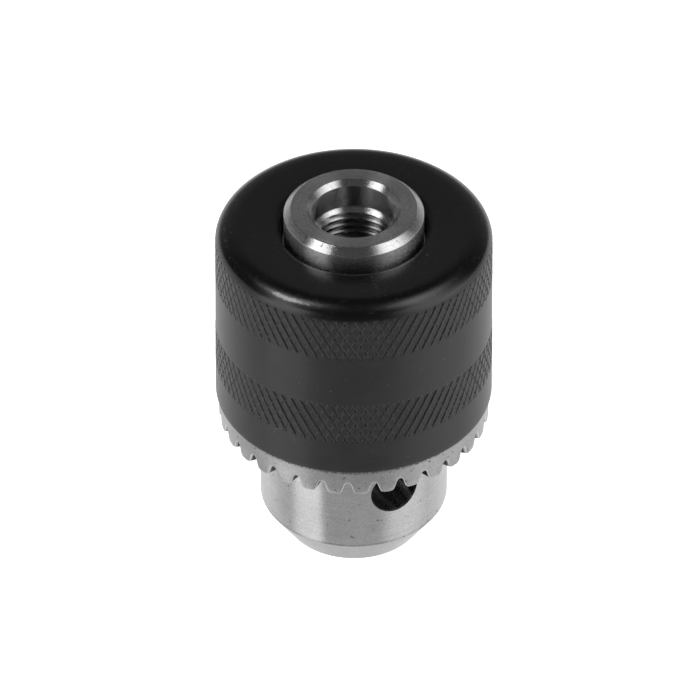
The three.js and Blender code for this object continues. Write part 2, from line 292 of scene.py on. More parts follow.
def add_world():
    """Light table below, dim room above, and two tall soft boxes beside the camera."""
    world = bpy.data.worlds.new("studio")
    bpy.context.scene.world = world
    world.use_nodes = True
    n = Nodes(world.node_tree)
    direction = n.add("ShaderNodeTexCoord").outputs["Generated"]
    turned = n.add(
        "ShaderNodeVectorRotate", {"Vector": direction, "Angle": -VIEW_AZIMUTH}, rotation_type="Z_AXIS"
    )
    axes = n.add("ShaderNodeSeparateXYZ", {"Vector": turned.outputs[0]})
    x, y, up = axes.outputs
    side = n.math("MULTIPLY", n.math("ARCTAN2", x, n.math("MULTIPLY", y, -1.0)), 180 / math.pi)
    spread = n.math("ABSOLUTE", side)
    behind = n.smooth(spread, 65.0, 145.0)
    table = n.math("MULTIPLY_ADD", behind, TABLE_LIGHT_BEHIND, TABLE_LIGHT)
    steep = n.smooth(up, -0.72, -0.92)
    table = n.math("MULTIPLY", table, n.math("SUBTRACT", 1.0, steep))
    table = n.math("ADD", table, n.math("MULTIPLY", steep, TABLE_LIGHT_STEEP))
    far = n.smooth(y, 0.5, 0.78, ROOM_FRONT, ROOM_BACK)
    room = n.math("ADD", far, n.smooth(y, -0.3, -0.6, 0.0, ROOM_NEAR))
    above = n.smooth(n.math("MULTIPLY_ADD", n.math("ABSOLUTE", y), 0.5, up), 0.34, 0.46)
    below = n.math("MULTIPLY", table, n.math("SUBTRACT", 1.0, above))
    base = n.math("ADD", n.math("MULTIPLY", room, above), below)
    lift = n.smooth(up, -0.3, 0.4)
    over = n.smooth(up, 0.7, 0.84)
    lean = n.math("MULTIPLY_ADD", over, LEFT_LEAN, side)
    left = n.math("MULTIPLY", n.smooth(lean, *LEFT_BOX[:2]), n.smooth(lean, *LEFT_BOX[2:], 1.0, 0.0))
    left = n.math("MULTIPLY", left, n.math("MULTIPLY_ADD", lift, 1.2, 0.6))
    left = n.math("MULTIPLY", left, n.smooth(up, 0.95, 0.985, 1.0, 0.0))
    left = n.math("MULTIPLY", left, n.smooth(up, 0.78, 0.88, 1.0, 2.4))
    lean = n.math("MULTIPLY_ADD", over, RIGHT_LEAN, side)
    right = n.math("MULTIPLY", n.smooth(lean, *RIGHT_BOX[:2]), n.smooth(lean, *RIGHT_BOX[2:], 1.0, 0.0))
    right = n.math("MULTIPLY", right, n.math("MULTIPLY_ADD", lift, 1.1, 0.4))
    right = n.math("MULTIPLY", right, n.smooth(up, 0.93, 0.98, 1.0, 0.0))
    right = n.math("MULTIPLY", right, n.smooth(up, 0.78, 0.88, 1.0, 1.7))
    height = n.smooth(up, -0.9, -0.82)
    boxes = n.math("MULTIPLY", n.math("ADD", left, right), height)
    total = n.math("ADD", base, boxes)
    seen = n.add("ShaderNodeLightPath").outputs["Is Camera Ray"]
    strength = n.math("ADD", n.math("MULTIPLY", total, n.math("SUBTRACT", 1.0, seen)), seen)
    background = n.add("ShaderNodeBackground", {"Color": (1, 1, 1, 1), "Strength": strength})
    n.add("ShaderNodeOutputWorld", {"Surface": background.outputs[0]})


def add_floor():
    """Plain white table just below the jaws' longest reach, clear as glass from below."""
    material = bpy.data.materials.new("table_white")
    material.use_nodes = True
    n = Nodes(material.node_tree)
    shader = n.add(
        "ShaderNodeBsdfPrincipled",
        {
            "Base Color": (0.8, 0.8, 0.8, 1),
            "Roughness": 0.9,
            "Specular IOR Level": 0.0,
            "Emission Color": (1, 1, 1, 1),
            "Emission Strength": FLOOR_GLOW,
        },
    )
    clear = n.add("ShaderNodeBsdfTransparent")
    from_below = n.add("ShaderNodeNewGeometry").outputs["Backfacing"]
    surface = n.add("ShaderNodeMixShader", {0: from_below, 1: shader.outputs[0], 2: clear.outputs[0]})
    n.add("ShaderNodeOutputMaterial", {"Surface": surface.outputs[0]})
    bpy.ops.mesh.primitive_plane_add(size=FLOOR_SIZE, location=(0, 0, -JAW_REACH * MM))
    floor = bpy.context.object
    floor.name = "table"
    floor.data.materials.append(material)
    floor.visible_glossy = False
    floor.visible_diffuse = False
    floor.visible_shadow = False


# ---------------------------------------------------------------- mesh helpers


def fillet(corners, steps=5):
    """Outline with arcs: each corner is (r, z) or (r, z, arc radius)."""
    points = []
    count = len(corners)
    for i, corner in enumerate(corners):
        here = Vector(corner[:2])
        size = corner[2] if len(corner) > 2 else 0
        if not size:
            points.append(tuple(here))
            continue
        back = (Vector(corners[i - 1][:2]) - here).normalized()
        ahead = (Vector(corners[(i + 1) % count][:2]) - here).normalized()
        half = back.angle(ahead) / 2
        reach = size / math.tan(half)
        centre = here + (back + ahead).normalized() * (size / math.sin(half))
        start = here + back * reach - centre
        end = here + ahead * reach - centre
        first = math.atan2(start.y, start.x)
        swing = math.remainder(math.atan2(end.y, end.x) - first, TAU)
        for j in range(steps + 1):
            angle = first + swing * j / steps
            points.append((centre.x + size * math.cos(angle), centre.y + size * math.sin(angle)))
    return points


def spaced(first, last, step):
    """Values from first to last, about step apart, both ends included."""
    return np.linspace(first, last, max(2, round(abs(last - first) / step) + 1))


def sheet_mesh(name, grid, wear_and_painted_light=None):
    """Closed ring of quads from an array of points [row, column, xyz] in millimetres.

    Rows close on themselves along the outline and columns close round the axis.
    """
    rows, columns, _ = grid.shape
    i, j = np.meshgrid(np.arange(rows), np.arange(columns), indexing="ij")
    below = (i + 1) % rows
    beside = (j + 1) % columns
    faces = np.stack([
        i * columns + j,
        i * columns + beside,
        below * columns + beside,
        below * columns + j,
    ], axis=-1).reshape(-1, 4)
    mesh = bpy.data.meshes.new(name)
    mesh.vertices.add(rows * columns)
    mesh.vertices.foreach_set("co", (grid * MM).reshape(-1))
    mesh.loops.add(faces.size)
    mesh.loops.foreach_set("vertex_index", faces.reshape(-1).astype(np.int32))
    mesh.polygons.add(len(faces))
    mesh.polygons.foreach_set("loop_start", np.arange(0, faces.size, 4, dtype=np.int32))
    if wear_and_painted_light is not None:
        layer = mesh.attributes.new("wear_and_painted_light", "FLOAT", "POINT")
        layer.data.foreach_set("value", wear_and_painted_light.reshape(-1).astype(np.float32))
    mesh.update(calc_edges=True)
    mesh.validate()
    return mesh


def add_object(name, mesh):
    item = bpy.data.objects.new(name, mesh)
    bpy.context.scene.collection.objects.link(item)
    return item


def shade_by_angle(item, degrees):
    """Smooth shading with edges sharper than an angle kept crisp."""
    mesh = item.data
    mesh.shade_smooth()
    mesh.set_sharp_from_angle(angle=math.radians(degrees))


def prism(name, outline, low, high):
    """Solid with an (x, y) outline between two heights."""
    count = len(outline)
    points = [(x * MM, y * MM, z * MM) for z in (low, high) for x, y in outline]
    faces = [tuple(range(count))[::-1], tuple(range(count, 2 * count))]
    for i in range(count):
        j = (i + 1) % count
        faces.append((i, j, j + count, i + count))
    mesh = bpy.data.meshes.new(name)
    mesh.from_pydata(points, [], faces)
    return add_object(name, mesh)


def round_bar(name, radius, low, high, columns=BAR_COLUMNS):
    turns = [TAU * i / columns for i in range(columns)]
    outline = [(radius * math.cos(turn), radius * math.sin(turn)) for turn in turns]
    return prism(name, outline, low, high)


def set_matrix(item, matrix):
    """Moves an object's own vertices, and leaves its origin at the frame's."""
    item.data.transform(matrix)


def at_jaw(angle):
    """Matrix from a jaw's own axis to its place round the chuck."""
    return (
        Matrix.Rotation(math.radians(angle), 4, "Z")
        @ Matrix.Translation((JAW_AXIS_AT_NOSE * MM, 0, 0))
        @ Matrix.Rotation(JAW_SLOPE, 4, "Y")
    )


def carve(item, tool, operation="DIFFERENCE"):
    """Applies one exact boolean and deletes the tool."""
    modifier = item.modifiers.new("carve", "BOOLEAN")
    modifier.operation = operation
    modifier.solver = "EXACT"
    modifier.object = tool
    graph = bpy.context.evaluated_depsgraph_get()
    result = bpy.data.meshes.new_from_object(item.evaluated_get(graph))
    item.modifiers.clear()
    item.data = result
    bpy.data.objects.remove(tool)


def finish_piece(item, body, node, material):
    item.data.materials.clear()
    item.data.materials.append(material)
    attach(item, body)
    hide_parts(node)


# ---------------------------------------------------------------- materials


def new_material(name):
    material = bpy.data.materials.new(name)
    material.use_nodes = True
    return material, Nodes(material.node_tree)


def round_coordinates(n):
    """Place on the chuck: (x, y, z) together, radius and height in millimetres, angle round the axis."""
    place = n.add("ShaderNodeTexCoord").outputs["Object"]
    axes = n.add("ShaderNodeSeparateXYZ", {"Vector": place})
    x, y, z = (n.math("MULTIPLY", axes.outputs[i], 1 / MM) for i in range(3))
    radius = n.math("SQRT", n.math("ADD", n.math("MULTIPLY", x, x), n.math("MULTIPLY", y, y)))
    turn = n.math("ARCTAN2", y, x)
    flat = n.add("ShaderNodeCombineXYZ", {0: x, 1: y, 2: z}).outputs[0]
    return flat, radius, z, turn


def mix_colour(n, share, first, second):
    node = n.add("ShaderNodeMix", data_type="RGBA")
    n.tree.links.new(share, node.inputs["Factor"])
    for socket, value in ((node.inputs[6], first), (node.inputs[7], second)):
        if isinstance(value, bpy.types.NodeSocket):
            n.tree.links.new(value, socket)
        else:
            socket.default_value = value
    return node.outputs[2]


def grey(value):
    return (value, value, value * 1.01, 1.0)


def steel(name, light, dark, roughness, turned_lines, pits, shade_and_grime=None, coarse=None, drawn=0.0):
    """Machined steel: fine lathe lines, blotches of duller metal and small dark pits, with a painted
    highlight along marked edges and a darkened share that is painted shade in gaps and recesses, plus grime
    where given.
    """
    material, n = new_material(name)
    flat, radius, z, turn = round_coordinates(n)
    lathe_place = n.add(
        "ShaderNodeCombineXYZ",
        {0: n.math("MULTIPLY", radius, 6.0), 1: n.math("MULTIPLY", z, 6.0), 2: n.math("MULTIPLY", turn, 1.3)},
    ).outputs[0]
    lines = n.noise(lathe_place, 1.6, 4.0, 0.7)
    blotch = n.noise(flat, 0.22, 4.0, 0.6)
    grain = n.noise(flat, 3.2, 4.0, 0.7)
    speck = n.noise(flat, 1.35, 2.0, 0.5)
    pit = n.smooth(speck, pits, pits + 0.05)
    tone = n.math("ADD", n.math("MULTIPLY", blotch, 0.35), n.math("MULTIPLY", grain, 0.65))
    colour = mix_colour(n, n.smooth(tone, 0.36, 0.64), grey(dark), grey(light))
    colour = mix_colour(n, n.smooth(lines, 0.48, 0.7, 0.0, 0.32), colour, grey(dark * 0.6))
    colour = mix_colour(n, n.math("MULTIPLY", pit, 0.75), colour, grey(dark * 0.25))
    wear_and_painted_light = n.add("ShaderNodeAttribute", attribute_name="wear_and_painted_light").outputs["Fac"]
    # Painted highlight: edges marked with positive attribute values are lightened towards near white.
    rim_highlight = n.math("MULTIPLY", n.smooth(wear_and_painted_light, 0.05, 0.6), n.smooth(blotch, 0.35, 0.6, 0.3, 0.9))
    colour = mix_colour(n, rim_highlight, colour, grey(0.85))
    # Darkened share: painted shade in gaps and recesses, from negative attribute values or the given
    # function, which can add real grime too.
    painted_shade_and_grime = shade_and_grime(n, radius, z, grain) if shade_and_grime else n.smooth(wear_and_painted_light, -0.1, -0.9)
    colour = mix_colour(n, painted_shade_and_grime, colour, grey(dark * 0.12))
    rough = n.math("ADD", n.math("MULTIPLY", grain, 0.16), roughness - 0.08)
    rough = n.math("ADD", rough, n.math("MULTIPLY", n.math("SUBTRACT", lines, 0.5), 0.12))
    if coarse:
        rough = n.math("MULTIPLY_ADD", coarse(n, radius, z), 0.05, rough)
    height = n.math("ADD", n.math("MULTIPLY", lines, turned_lines), n.math("MULTIPLY", grain, 0.5))
    height = n.math("SUBTRACT", height, n.math("MULTIPLY", pit, 0.8))
    bump = n.add("ShaderNodeBump", {"Height": height, "Strength": 0.22, "Distance": 0.00004})
    round_axis = n.add("ShaderNodeTangent", direction_type="RADIAL", axis="Z")
    shader = n.add(
        "ShaderNodeBsdfPrincipled",
        {
            "Base Color": colour,
            "Metallic": 1.0,
            "Roughness": rough,
            "Normal": bump.outputs[0],
            "Anisotropic": drawn,
            "Anisotropic Rotation": 0.25,
            "Tangent": round_axis.outputs[0],
        },
    )
    n.add("ShaderNodeOutputMaterial", {"Surface": shader.outputs[0]})
    return material


def curved_scratch(n, turn, z, patch):
    """Share of the faint half-circle scratch on the jacket."""
    along = n.math("MULTIPLY", n.math("SUBTRACT", turn, math.radians(SCRATCH_ANGLE)), JACKET_BOTTOM_R)
    rise = n.math("SUBTRACT", z, SCRATCH_Z)
    reach = n.math("SQRT", n.math("ADD", n.math("MULTIPLY", along, along), n.math("MULTIPLY", rise, rise)))
    line = n.smooth(n.math("ABSOLUTE", n.math("SUBTRACT", reach, SCRATCH_R)), 0.12, 0.03)
    line = n.math("MULTIPLY", line, n.smooth(rise, -0.3, 0.3))
    return n.math("MULTIPLY", line, n.smooth(patch, 0.35, 0.55))


def black_oxide():
    """Satin black finish, burnished to metal along the top edge and rubbed on the ridges; the press-formed
    top face is painted darker as painted shade.
    """
    material, n = new_material("black_oxide")
    flat, radius, z, turn = round_coordinates(n)
    wear_and_painted_light = n.add("ShaderNodeAttribute", attribute_name="wear_and_painted_light").outputs["Fac"]
    grain = n.noise(flat, 5.5, 3.0, 0.6)
    blotch = n.noise(flat, 0.16, 3.0, 0.55)
    dust = n.smooth(n.noise(flat, 1.7, 1.0, 0.4), 0.745, 0.775)
    patch = n.noise(flat, 0.9, 5.0, 0.75)
    torn = n.math("MULTIPLY_ADD", n.math("SUBTRACT", patch, 0.5), 1.3, wear_and_painted_light)
    bare = n.smooth(torn, 0.5, 0.85)
    rubbed = n.math("MULTIPLY", n.smooth(wear_and_painted_light, 0.1, 0.45), n.smooth(patch, 0.4, 0.62))
    pressed_face_and_shade = n.smooth(z, JACKET_TOP - PRESSED_SHADE_DEPTH[0], JACKET_TOP - PRESSED_SHADE_DEPTH[1])
    colour = mix_colour(n, n.smooth(blotch, 0.4, 0.62), grey(0.005), grey(0.01))
    # Painted shade: the top face gets a darker colour than the side, to keep it dark under the light.
    colour = mix_colour(n, pressed_face_and_shade, colour, grey(0.001))
    colour = mix_colour(n, n.math("MULTIPLY", rubbed, 0.35), colour, grey(0.02))
    colour = mix_colour(n, n.math("MULTIPLY", dust, 0.5), colour, grey(0.07))
    colour = mix_colour(n, curved_scratch(n, turn, z, patch), colour, grey(0.05))
    drawn_place = n.add(
        "ShaderNodeCombineXYZ", {0: n.math("MULTIPLY", turn, 7.0), 1: n.math("MULTIPLY", z, 2.2)}
    )
    scuff = n.smooth(n.noise(drawn_place.outputs[0], 1.0, 5.0, 0.72), 0.52, 0.72)
    scuff = n.math("MULTIPLY", scuff, n.smooth(patch, 0.42, 0.6))
    colour = mix_colour(n, n.math("MULTIPLY", scuff, 0.5), colour, grey(0.03))
    colour = mix_colour(n, bare, colour, grey(0.2))
    rough = n.math("ADD", n.math("MULTIPLY", blotch, 0.1), n.math("MULTIPLY_ADD", grain, 0.1, 0.34))
    rough = n.math("MULTIPLY_ADD", pressed_face_and_shade, -0.2, n.math("MULTIPLY_ADD", scuff, 0.08, rough))
    rough = n.math("MULTIPLY_ADD", bare, 0.1, rough)
    bump = n.add("ShaderNodeBump", {"Height": grain, "Strength": 0.3, "Distance": 0.00004})
    shader = n.add(
        "ShaderNodeBsdfPrincipled",
        {
            "Base Color": colour,
            "Metallic": n.math("MULTIPLY", bare, 0.9),
            "Roughness": rough,
            "IOR": 1.48,
            "Sheen Weight": 0.2,
            "Sheen Roughness": 0.3,
            "Coat Weight": 0.25,
            "Coat Roughness": 0.2,
            "Coat IOR": 1.6,
            "Normal": bump.outputs[0],
        },
    )
    n.add("ShaderNodeOutputMaterial", {"Surface": shader.outputs[0]})
    return material


def body_shade_and_grime(n, radius, z, grain):
    """Darkened share of the body: painted shade in the holes and bores of the nose, down the thread and round
    the boss, and grime along the cone's edge.
    """
    # Painted shade: the nose darkens with depth below its outer skin, inside its holes and bores.
    cone = n.math("MULTIPLY_ADD", z, (NOSE_R - NOSE_FACE_R) / NOSE_CONE_TOP, NOSE_FACE_R)
    skin = n.math("MINIMUM", NOSE_R, cone)
    deep = n.smooth(n.math("SUBTRACT", skin, radius), 0.2, 0.7, 0.0, 0.72)
    holes = n.math("MULTIPLY", deep, n.smooth(z, NOSE_TOP - 0.5, NOSE_TOP, 1.0, 0.0))
    holes = n.math("MULTIPLY", holes, n.smooth(z, 0.1, 0.5))
    # Painted shade: darker down the tapped thread below the counterbore floor.
    thread = n.smooth(z, COUNTERBORE_FLOOR - 0.6, COUNTERBORE_FLOOR - 2.2, 0.0, 0.75)
    thread = n.math("MULTIPLY", thread, n.smooth(z, THREAD_FLOOR, THREAD_FLOOR + 1))
    thread = n.math("MULTIPLY", thread, n.smooth(radius, COUNTERBORE_R + 0.5, COUNTERBORE_R, 0.0, 1.0))
    # Grime: broken dark specks along the top edge of the nose cone.
    edge = n.smooth(n.math("ABSOLUTE", n.math("SUBTRACT", z, NOSE_CONE_TOP + 0.15)), 0.3, 0.05)
    edge = n.math("MULTIPLY", edge, n.smooth(grain, 0.42, 0.6, 0.0, 0.6))
    # Painted shade: the body's face round the boss, in the gap under the jacket.
    gap = n.smooth(radius, BOSS_R + 0.05, BOSS_R + 0.2)
    gap = n.math("MULTIPLY", gap, n.smooth(z, SHOULDER, SHOULDER + 1))
    return n.math("MAXIMUM", n.math("MAXIMUM", holes, thread), n.math("MAXIMUM", edge, gap))


def boss_side(n, radius, z):
    """Share of coarser turning marks: the boss's side above the jacket."""
    side = n.smooth(radius, BOSS_R - 0.12, BOSS_R - 0.06)
    return n.math("MULTIPLY", side, n.smooth(z, REAR_BODY_TOP, REAR_BODY_TOP + 0.5))


def ring_gap_shade_and_band(n, radius, z, grain):
    """Darkened share of the ring: painted shade in the gaps between the teeth, and an uneven darker band just
    under the jacket.
    """
    wear_and_painted_light = n.add("ShaderNodeAttribute", attribute_name="wear_and_painted_light").outputs["Fac"]
    uneven = n.math("MULTIPLY_ADD", n.math("SUBTRACT", grain, 0.5), 2.4, z)
    under = n.smooth(uneven, *RING_DARK_BAND, 0.0, 0.85)
    # Painted shade in the tooth gaps, marked by negative attribute values, joined with the band under the
    # jacket.
    return n.math("MAXIMUM", n.smooth(wear_and_painted_light, -0.1, -0.9), under)


# ---------------------------------------------------------------- pieces


def body_outline():
    """Outline of the body below and above the threaded stretch, as two lists."""
    outside = fillet([
        (TOOL_BORE_R + TOOL_BORE_CHAMFER, 0.0),
        (NOSE_FACE_R, 0.0, 0.35),
        (NOSE_R, NOSE_CONE_TOP, 0.45),
        (NOSE_R, NOSE_TOP, BODY_ARC),
        (NUT_GROOVE_R, NOSE_TOP),
        (NUT_GROOVE_R, SHOULDER),
        (REAR_BODY_R, SHOULDER, BODY_ARC),
        (REAR_BODY_R, REAR_BODY_TOP, 0.4),
        (BOSS_R, REAR_BODY_TOP),
        (BOSS_R, BOSS_TOP - BOSS_CHAMFER, EDGE_ARC),
        (BOSS_FACE_R, BOSS_TOP, EDGE_ARC),
        (COUNTERBORE_MOUTH_R, BOSS_TOP, FINE_ARC),
        (COUNTERBORE_R, BOSS_TOP - COUNTERBORE_CHAMFER, 0.1),
        (COUNTERBORE_R, COUNTERBORE_FLOOR, SMALL_ARC),
        (THREAD_MAJOR_R, COUNTERBORE_FLOOR),
    ])
    inside = [
        (THREAD_MINOR_R, THREAD_FLOOR),
        (SCREW_HOLE_R, THREAD_FLOOR - SCREW_SEAT_DEPTH),
        (SCREW_HOLE_R, TOOL_BORE_TOP),
        (TOOL_BORE_R, TOOL_BORE_TOP),
        (TOOL_BORE_R, TOOL_BORE_CHAMFER),
    ]
    return outside, inside


def thread_radius(z, turn):
    """Wall of the tapped hole: sixty-degree ridges with small flats, and a lead-in."""
    phase = (z / THREAD_PITCH - turn / TAU) % 1.0
    from_root = np.abs(phase - 0.5) * 2
    ridge = np.clip((THREAD_CREST_EDGE - from_root) / THREAD_FLANK, 0, 1)
    radius = THREAD_MINOR_R + (THREAD_MAJOR_R - THREAD_MINOR_R) * ridge
    lead_in = THREAD_MINOR_R + (z - (COUNTERBORE_FLOOR - THREAD_LEAD_IN)) * (
        (THREAD_MAJOR_R - THREAD_MINOR_R) / THREAD_LEAD_IN
    )
    return np.maximum(radius, lead_in)


def body_piece():
    outside, inside = body_outline()
    heights = spaced(COUNTERBORE_FLOOR - 0.08, THREAD_FLOOR + 0.1, THREAD_STEP)
    turns = np.arange(BODY_COLUMNS) * TAU / BODY_COLUMNS
    rows = len(outside) + len(heights) + len(inside)
    radii = np.empty((rows, BODY_COLUMNS))
    levels = np.empty((rows, BODY_COLUMNS))
    for start, part in ((0, outside), (rows - len(inside), inside)):
        part = np.array(part)
        radii[start:start + len(part)] = part[:, None, 0]
        levels[start:start + len(part)] = part[:, None, 1]
    stretch = slice(len(outside), len(outside) + len(heights))
    levels[stretch] = heights[:, None]
    radii[stretch] = thread_radius(heights[:, None], turns[None, :])
    grid = np.stack([radii * np.cos(turns), radii * np.sin(turns), levels], axis=-1)
    body = add_object("body_fine", sheet_mesh("body_fine", grid))
    for angle in JAW_ANGLES:
        bore = round_bar("bore", JAW_BORE_R, *JAW_STOCK)
        set_matrix(bore, at_jaw(angle))
        carve(body, bore)
    for angle in KEY_HOLE_ANGLES:
        hole = round_bar("hole", KEY_HOLE_R, 0, KEY_HOLE_REACH, HOLE_COLUMNS)
        turn = Matrix.Rotation(math.radians(angle), 4, "Z")
        lift = Matrix.Translation((0, 0, KEY_HOLE_Z * MM))
        set_matrix(hole, turn @ lift @ Matrix.Rotation(math.pi / 2, 4, "Y"))
        carve(body, hole)
    shade_by_angle(body, BODY_CRISP)
    return body


def tooth_outline():
    """One tooth as (share of a pitch, share of the depth from tip to root) points."""
    half = [
        (0.0, 0.0), (0.07, 0.0), (0.13, 0.008), (0.185, 0.035), (0.232, 0.095),
        (0.266, 0.18), (0.292, 0.29), (0.313, 0.41), (0.332, 0.54), (0.351, 0.67),
        (0.371, 0.785), (0.395, 0.88), (0.425, 0.95), (0.461, 0.99), (0.5, 1.0),
    ]
    return [(-along, depth) for along, depth in half[:0:-1]] + half[:-1]


def ring_piece():
    outline = np.array(tooth_outline())
    pitch = TAU * RING_R / TOOTH_COUNT
    first = np.radians(TOOTH_PHASE - 90) * RING_R
    along = (first + (np.arange(TOOTH_COUNT)[:, None] + outline[None, :, 0]) * pitch).reshape(-1)
    tip_slope = (RING_TIP_Z - KEY_HOLE_Z) / RING_TIP_R
    root_slope = (RING_ROOT_Z - KEY_HOLE_Z) / RING_R
    depth = np.tile(outline[:, 1], TOOTH_COUNT)
    rise = (tip_slope + (root_slope - tip_slope) * depth) * RING_R
    ahead = np.roll(along, -1) + np.where(np.roll(along, -1) < along, TAU * RING_R, 0)
    back = np.roll(along, 1) - np.where(np.roll(along, 1) > along, TAU * RING_R, 0)
    run, climb = ahead - back, np.roll(rise, -1) - np.roll(rise, 1)
    length = np.hypot(run, climb)
    into = np.stack([-climb / length, run / length])

    def toothed(radius, inset=0.0):
        """Row along the teeth at one radius, set in from their outline; flanks meet at the key axis."""
        turns = (along + inset * into[0]) / RING_R
        return radius + 0 * along, KEY_HOLE_Z + (rise + inset * into[1]) * radius / RING_R, turns

    def plain(radius, z):
        return radius + 0 * along, z + 0 * along, along / RING_R

    wall_r, wall_z, wall_turns = toothed(RING_R, 0.17)
    wall_top = RING_SHOULDER - RING_EDGE
    rows = [(plain(RING_SHELL_R, RING_TOP), 0), (plain(RING_SHELL_R, RING_SHOULDER), 0)]
    rows += [(plain(RING_R - RING_EDGE, RING_SHOULDER), 0), (plain(RING_R, wall_top), 0)]
    for share in (0.75, 0.5, 0.25):
        between = wall_z + (wall_top - wall_z) * share
        rows.append(((wall_r, between, along / RING_R + (wall_turns - along / RING_R) * (1 - share)), 0))
    # Each row's number is its edge attribute: positive values paint a highlight along the tooth edges, and -1
    # paints shade in the gaps between the teeth.
    rows += [((wall_r, wall_z, wall_turns), 0.1), (toothed(RING_R - 0.04, 0.07), 0.6)]
    rows += [(toothed(RING_R - RING_EDGE, 0.02), 0.6), (toothed(RING_R - 0.22), 0.2)]
    rows += [(toothed(radius), -1) for radius in RING_TOOTH_ROWS]
    rows += [(toothed(RING_INNER_R, 0.12), -1), (plain(RING_INNER_R, RING_FLANGE_TOP), 0)]
    rows += [(plain(RING_SHELL_INNER_R, RING_FLANGE_TOP), 0), (plain(RING_SHELL_INNER_R, RING_TOP), 0)]
    radii, levels, turns = (np.array([row[i] for row, _ in rows[::-1]]) for i in range(3))
    wear_and_painted_light = np.array([amount for _, amount in rows[::-1]])[:, None] + 0 * radii
    grid = np.stack([radii * np.cos(turns), radii * np.sin(turns), levels], axis=-1)
    ring = add_object("ring_fine", sheet_mesh("ring_fine", grid, wear_and_painted_light))
    shade_by_angle(ring, RING_CRISP)
    return ring


def knurl_height(z, turns):
    """Rise of the knurled surface: two families of slanting grooves with raised lips."""
    rise = np.zeros(np.broadcast(z, turns).shape)
    pitch = TAU * JACKET_BOTTOM_R / KNURL_COUNT
    for lean in (1, -1):
        phase = KNURL_COUNT * turns / TAU + lean * z * math.tan(KNURL_ANGLE) / pitch
        index = np.round(phase)
        away = np.abs(phase - index) * pitch * math.cos(KNURL_ANGLE)
        uneven = 0.74 - 0.24 * lean * np.sin(3 * turns - 0.2) + 0.12 * np.sin(index * 2.4 + lean)
        uneven *= 0.88 + 0.12 * np.sin(1.9 * z + index * 1.3)
        groove = np.clip(1 - away / KNURL_HALF_WIDTH, 0, 1) ** 0.7
        lip = np.exp(-(((away - KNURL_HALF_WIDTH - KNURL_LIP_WIDTH) / KNURL_LIP_WIDTH) ** 2))
        rise += uneven * (KNURL_LIP_HEIGHT * lip - KNURL_DEPTH * groove)
    return np.maximum(rise, -1.15 * KNURL_DEPTH)


def jacket_crown():
    """Centre of the crown's arc and of the shoulder's arc, as (r, z) pairs."""
    side, lift = math.cos(JACKET_CROWN_TILT), math.sin(JACKET_CROWN_TILT)
    shoulder_r = JACKET_TOP_R - JACKET_SHOULDER_R
    crown_r = shoulder_r - (JACKET_CROWN_R - JACKET_SHOULDER_R) * side
    crown_z = JACKET_TOP - JACKET_CROWN_R
    return (crown_r, crown_z), (shoulder_r, crown_z + (JACKET_CROWN_R - JACKET_SHOULDER_R) * lift)


def jacket_wall(z):
    """Outside radius of the jacket: a slight taper that rolls over at the shoulder."""
    shoulder_z = jacket_crown()[1][1]
    taper = (JACKET_TOP_R - JACKET_BOTTOM_R) / (shoulder_z - JACKET_BOTTOM)
    rise = max(0.0, z - shoulder_z)
    roll = JACKET_SHOULDER_R - math.sqrt(JACKET_SHOULDER_R ** 2 - rise ** 2)
    return JACKET_BOTTOM_R + taper * (min(z, shoulder_z) - JACKET_BOTTOM) - roll


def jacket_outline():
    """Jacket outline as rows of (r, z, knurl share, wear)."""
    def fade(z):
        ends = [min(z - low, high - z) for low, high in KNURL_BANDS]
        return min(1.0, max(0.0, max(ends) / 0.25 + 0.3))

    stretches = [spaced(low - 0.1, high + 0.1, KNURL_STEP) for low, high in KNURL_BANDS]
    for start, (low, _) in zip(PLAIN_STARTS, KNURL_BANDS):
        stretches.append(spaced(start, low - 0.5, PLAIN_STEP))
    heights = np.sort(np.concatenate(stretches))
    rows = [(r, z, 0.0, 0.3) for r, z in fillet([
        (JACKET_INNER_R, JACKET_SKIRT),
        (jacket_wall(JACKET_BOTTOM), JACKET_SKIRT, SMALL_ARC),
        (jacket_wall(30), 30),
    ])[:-1]]
    rows += [(jacket_wall(z), z, fade(z), 0.0) for z in heights]
    crown, shoulder = jacket_crown()
    start = math.asin((heights[-1] - shoulder[1]) / JACKET_SHOULDER_R)
    arcs = [(tilt, JACKET_SHOULDER_R, shoulder) for tilt in np.linspace(start, JACKET_CROWN_TILT, 6)[1:]]
    arcs += [(tilt, JACKET_CROWN_R, crown) for tilt in np.linspace(JACKET_CROWN_TILT, math.pi / 2, 14)[1:]]
    for tilt, size, centre in arcs:
        rubbed = math.exp(-((math.degrees(tilt) - JACKET_RUB_TILT) / JACKET_RUB_SPREAD) ** 2)
        rows.append((centre[0] + size * math.cos(tilt), centre[1] + size * math.sin(tilt), 0.0, rubbed))
    rows += [(r, z, 0.0, 0.0) for r, z in fillet([
        (crown[0] - 0.3, JACKET_TOP),
        (JACKET_MOUTH_R, JACKET_TOP, JACKET_LIP_R),
        (JACKET_MOUTH_R, JACKET_TOP - JACKET_WALL, SMALL_ARC),
        (JACKET_INNER_R, JACKET_TOP - JACKET_WALL, JACKET_INNER_CORNER_R),
        (JACKET_INNER_R, JACKET_BOTTOM + 1),
    ], JACKET_ARC_STEPS)]
    return rows


def angle_between(turns, degrees):
    """Signed difference, in degrees, from each angle in radians to one in degrees."""
    return (np.degrees(turns) - degrees + 180) % 360 - 180


